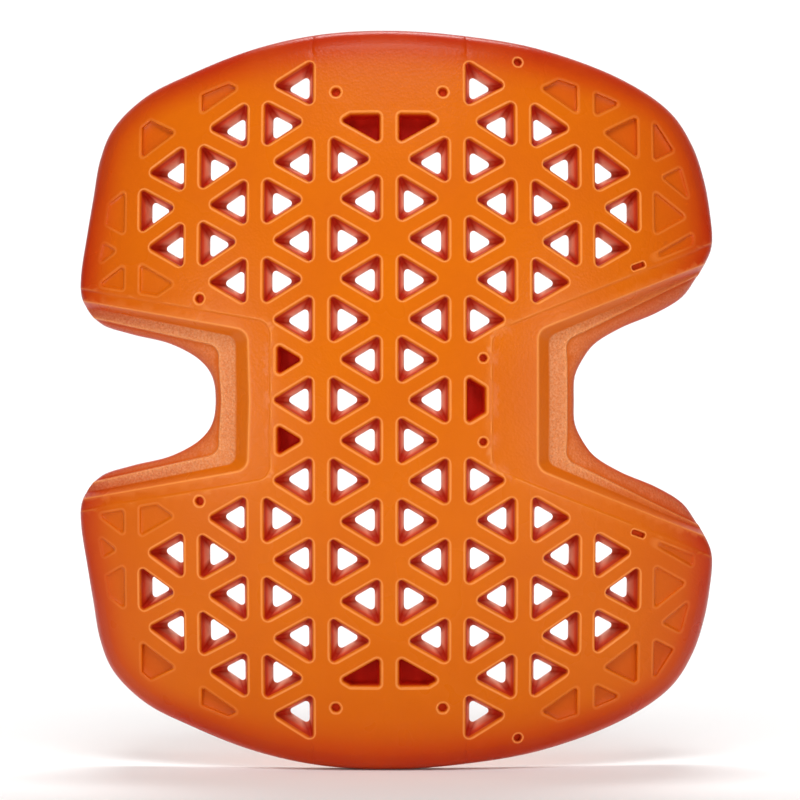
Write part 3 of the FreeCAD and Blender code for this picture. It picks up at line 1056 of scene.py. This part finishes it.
def elastomer(name):
    """Orange elastomer, finely grained and stippled on the ledges, with painted shade that turns it darker
    and redder at the edges and in openings, painted highlights along lips and notch lines, and a painted
    sheen on the ledges.
    """
    material, tree, shader = node_tree(name)
    link = tree.links.new
    depth, stipple_and_sheen = attribute(tree, "depth"), attribute(tree, "stipple_and_sheen")
    in_vent = attribute(tree, "in_vent")

    cloud = texture(tree, "ShaderNodeTexNoise", Scale=34.0, Detail=3.0, Roughness=0.55).outputs["Fac"]
    face = colour_ramp(tree, attribute(tree, "painted_shade"), FACE_SHADE_TONES)
    mottled = mixed(tree, ranged(tree, cloud, 0.35, 0.7, 0.0, 0.3), face, MOTTLE)
    # painted shade down the openings, and painted light from behind near the vents' throats
    side_wall = colour_ramp(tree, depth, SIDE_WALL_SHADE_AND_BACKLIGHT)
    corner_wall = colour_ramp(tree, depth, CORNER_WALL_SHADE_AND_BACKLIGHT)
    wall = mixed(tree, attribute(tree, "corner"), side_wall, corner_wall)
    opening = mixed(tree, attribute(tree, "blind"), wall, colour_ramp(tree, depth, POCKET_SHADE_TONES))
    # painted highlight along lips and notch lines
    highlighted = mixed(tree, ranged(tree, attribute(tree, "lip"), 0.0, 1.0, 0.0, LIP_HIGHLIGHT_SHARE), mottled, LIP_HIGHLIGHT_COLOUR)
    body = mixed(tree, in_vent, highlighted, opening)
    specks = texture(tree, "ShaderNodeTexNoise", Scale=1500.0, Detail=2.0, Roughness=0.7).outputs["Fac"]
    # painted sheen on the ledges, broken up by specks
    sheen_share = combined(
        tree, "MULTIPLY", ranged(tree, stipple_and_sheen, 0.0, 1.0, 0.0, LEDGE_SHEEN_SHARE),
        ranged(tree, specks, 0.38, 0.62, 0.65, 1.45))
    link(mixed(tree, sheen_share, body, LEDGE_SHEEN), shader.inputs["Base Color"])

    rough = combined(
        tree, "ADD", ranged(tree, cloud, 0.3, 0.7, 0.25, 0.33), ranged(tree, in_vent, 0.0, 1.0, 0.0, 0.4))
    link(rough, shader.inputs["Roughness"])
    shader.inputs["Specular IOR Level"].default_value = 0.13

    waves = texture(tree, "ShaderNodeTexNoise", Scale=150.0, Detail=2.0).outputs["Fac"]
    grain = texture(tree, "ShaderNodeTexNoise", Scale=1300.0, Detail=2.0, Roughness=0.6).outputs["Fac"]
    pits = texture(tree, "ShaderNodeTexVoronoi", Scale=1050.0).outputs["Distance"]
    swell = bumped(tree, waves, Strength=0.12, Distance=0.0006)
    fine = bumped(tree, grain, swell, Strength=0.22, Distance=0.00012)
    pitted = bumped(tree, pits, fine, Distance=0.0004)
    link(ranged(tree, stipple_and_sheen, 0.0, 1.0, 0.1, 0.9), pitted.inputs["Strength"])
    link(pitted.outputs["Normal"], shader.inputs["Normal"])
    return material


def pale_floor():
    """Plain pale floor, very slightly uneven in tone."""
    material, tree, shader = node_tree("pale_floor")
    noise = texture(tree, "ShaderNodeTexNoise", Scale=3.0, Detail=2.0)
    shade = mixed(tree, ranged(tree, noise.outputs["Fac"], 0.3, 0.7, 0.0, 1.0), *FLOOR_TONES)
    tree.links.new(shade, shader.inputs["Base Color"])
    shader.inputs["Roughness"].default_value = 0.7
    shader.inputs["Specular IOR Level"].default_value = 0.2
    return material


# ---------------- making the pieces

# Where painted shade turns the front darker and redder: out from the middle, along the edge and towards the
# ends.
TONE_HALF_WIDTH = 108.0
TONE_HALF_LENGTH = 128.0
TONE_EDGE = 13.0
TONE_END = 92.0
TONE_END_FADE = 26.0
ARM_START = 20.0  # the ledge's painted sheen and the lines' painted highlights fade along the arms from here
ARM_FADE = 14.0
BORDER_SHEEN = 0.42  # painted reflection beyond the lip
WALL_START = 0.5  # places deeper than this under the front are in an opening or a side wall
WALL_FADE = 0.9


def vertex_tones(uv, w, surface, gaps, marks):
    """Values at every place that the material reads."""
    seen = from_plan(uv)
    radius = np.hypot(seen[:, 0] / TONE_HALF_WIDTH, seen[:, 1] / TONE_HALF_LENGTH)
    sideways = np.abs(seen[:, 0]) / TONE_HALF_WIDTH
    near_edge = np.clip(1 - gaps["edge"] / TONE_EDGE, 0, 1)
    on_end = smooth((np.abs(seen[:, 1]) - TONE_END) / TONE_END_FADE)
    # painted shade: the front darker and redder towards the sides, along the edge and towards the ends,
    # where less light falls
    painted_shade_amount = 0.2 * radius ** 2 + 0.42 * sideways ** 3 + 0.55 * near_edge ** 1.4 + 0.42 * on_end
    below = w - surface
    on_front = below < WALL_START
    ledge = np.zeros(len(uv))
    line = np.zeros(len(uv))
    along_arm = smooth((np.abs(seen[:, 1]) - ARM_START) / ARM_FADE)
    for side in (LEFT, RIGHT):
        step, brow, foot, lip = (gaps[side, name] for name in ("step", "brow", "foot", "lip"))
        # painted sheen on the ledges, and a painted reflection in the border beyond the lip
        on_ledge = smooth(foot / 0.6 + 0.5) * smooth(-lip / 0.6 + 0.5) * (1 - 0.8 * along_arm)
        in_border = smooth(lip / 1.2) * smooth(gaps["edge"] / 1.4) * BORDER_SHEEN
        ledge = np.maximum(ledge, np.maximum(on_ledge, in_border))
        # painted highlight lines along the step, the brow and the lip
        for gap, width, strength in ((step + 0.35, 0.3, 0.55), (brow, 0.36, 1.0), (lip + 0.4, 0.3, 0.95)):
            line = np.maximum(line, strength * np.exp(-(gap / width) ** 2) * (1 - 0.45 * along_arm))
    return {
        "depth": w / WALL, "painted_shade": np.clip(painted_shade_amount, 0, 1),
        "corner": marks["corner"], "blind": marks["blind"],
        # this mask drives the ledge's stipple bumps and its painted sheen
        "stipple_and_sheen": np.where(on_front, ledge, 0),
        "lip": np.maximum(marks["lip"], np.where(on_front, line, 0)),
        # in_vent mixes in the openings' painted shade; dimples take 30% of it
        "in_vent": np.clip((below - WALL_START) / WALL_FADE, 0, 1) * (1 - 0.7 * marks["shallow"])}


SHARP_DEGREES = 38


def new_object(name, data):
    """Object in the scene with the given data."""
    made = bpy.data.objects.new(name, data)
    bpy.context.scene.collection.objects.link(made)
    return made


def new_mesh(name, points, faces, material):
    """Smooth mesh with one material."""
    mesh = bpy.data.meshes.new(name)
    mesh.from_pydata(points, [], faces)
    mesh.validate()
    mesh.polygons.foreach_set("use_smooth", [True] * len(mesh.polygons))
    mesh.materials.append(material)
    return mesh


def make_piece(name, points, faces, tones, material):
    """One closed mesh from its share of the moulding."""
    used = sorted({n for face in faces for n in face})
    renumber = {old: new for new, old in enumerate(used)}
    mesh = new_mesh(name, points[used].tolist(), [[renumber[n] for n in face] for face in faces], material)
    for key, values in tones.items():
        stored = mesh.attributes.new(key, "FLOAT", "POINT")
        stored.data.foreach_set("value", values[used].astype(np.float32))
    mesh.set_sharp_from_angle(angle=math.radians(SHARP_DEGREES))
    return new_object(name, mesh)


BODY_OF = {node: body for body, nodes in frame["record"]["behaviour"]["bodies"].items() for node in nodes}
SLOT_OF = {part["node"]: part["material_slot"] for part in frame["record"]["subparts"]}


def attach(piece, node):
    """A piece rides on its body, or has its transform baked where it stands; the CAD node it replaces is
    hidden.
    """
    body = BODY_OF[node]
    if node in ("knee_web", "left_waist_flange", "right_waist_flange"):
        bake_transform(piece)
    elif body.endswith("_side"):
        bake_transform(piece)
    else:
        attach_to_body(piece, body)
    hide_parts(node)


def make_pad():
    """Every piece of the moulding."""
    moulding, faces = build_moulding()
    uv, w, surface, gaps, marks = moulding.finished()
    points = place(uv, w, gaps["edge"])
    tones = vertex_tones(uv, w, surface, gaps, marks)
    materials = {slot: elastomer(slot) for slot in ("smooth_elastomer", "stippled_elastomer")}
    for node in sorted(faces):
        piece = make_piece(node + "_moulding", points, faces[node], tones, materials[SLOT_OF[node]])
        attach(piece, node)


# ---------------- studio

# Lights: name, place, aim, width, height, watts.
LIGHTS = (
    ("top_softbox", (0.0, -0.85, 1.2), (0, 0, 0), 0.8, 0.8, 13.8),
    ("low_softbox", (-0.52, -0.95, -0.075), (0, 0, -0.03), 0.3, 0.07, 0.35),
    ("left_softbox", (-0.92, -1.08, 0.05), (0, 0, 0), 0.2, 0.34, 3.5),
    ("right_softbox", (0.92, -1.08, 0.05), (0, 0, 0), 0.2, 0.34, 3.5),
    ("backdrop_light", (0.0, 1.5, 2.6), (0, 2.7, 0.0), 1.6, 1.2, 76),
)
WORLD_STRENGTH = 0.23
FLOOR_REACH = 4.0
SWEEP = 0.9  # radius of the floor's turn up into the backdrop
SWEEP_STEPS = 16
BACKDROP_Y = 3.6
BACKDROP_TOP = 3.6


def area_light(name, place_at, aim, width, height, power):
    """Soft light aimed at a point."""
    data = bpy.data.lights.new(name, "AREA")
    data.shape = "RECTANGLE"
    data.size = width
    data.size_y = height
    data.energy = power
    light = new_object(name, data)
    light.location = place_at
    light.rotation_euler = (Vector(aim) - Vector(place_at)).to_track_quat("-Z", "Y").to_euler()


def make_studio():
    """Floor that sweeps up behind the pad, lights and world."""
    floor_z = cad_box[0][2]
    profile = [(-FLOOR_REACH, 0.0), (BACKDROP_Y - SWEEP, 0.0)]
    for n in range(1, SWEEP_STEPS + 1):
        angle = math.pi / 2 * n / SWEEP_STEPS
        profile.append((BACKDROP_Y - SWEEP + SWEEP * math.sin(angle), SWEEP - SWEEP * math.cos(angle)))
    profile.append((BACKDROP_Y, BACKDROP_TOP))
    vertices, faces = [], []
    for y, z in profile:
        vertices += [(-FLOOR_REACH, y, floor_z + z), (FLOOR_REACH, y, floor_z + z)]
    for n in range(len(profile) - 1):
        faces.append([2 * n, 2 * n + 1, 2 * n + 3, 2 * n + 2])
    floor = new_object("studio_floor", new_mesh("studio_floor", vertices, faces, pale_floor()))

    for light in LIGHTS:
        area_light(*light)
    world = bpy.data.worlds.new("studio_world")
    world.use_nodes = True
    background = world.node_tree.nodes["Background"]
    background.inputs["Color"].default_value = (1, 1, 1, 1)
    background.inputs["Strength"].default_value = WORLD_STRENGTH
    bpy.context.scene.world = world
    bpy.context.scene.view_settings.view_transform = "Standard"


def make_camera():
    """Straight onto the domed front, at about arm's length."""
    aim_x = 0.0035
    stand_off = 1.1
    view_width = 0.26
    sensor = 36.0
    data = bpy.data.cameras.new("camera")
    data.sensor_width = sensor
    data.lens = sensor * stand_off / view_width
    camera = new_object("camera", data)
    camera.location = (aim_x, -WALL * MM - stand_off, 0.0)
    camera.rotation_euler = (math.pi / 2, 0, 0)
    bpy.context.scene.camera = camera


make_pad()
make_studio()
make_camera()
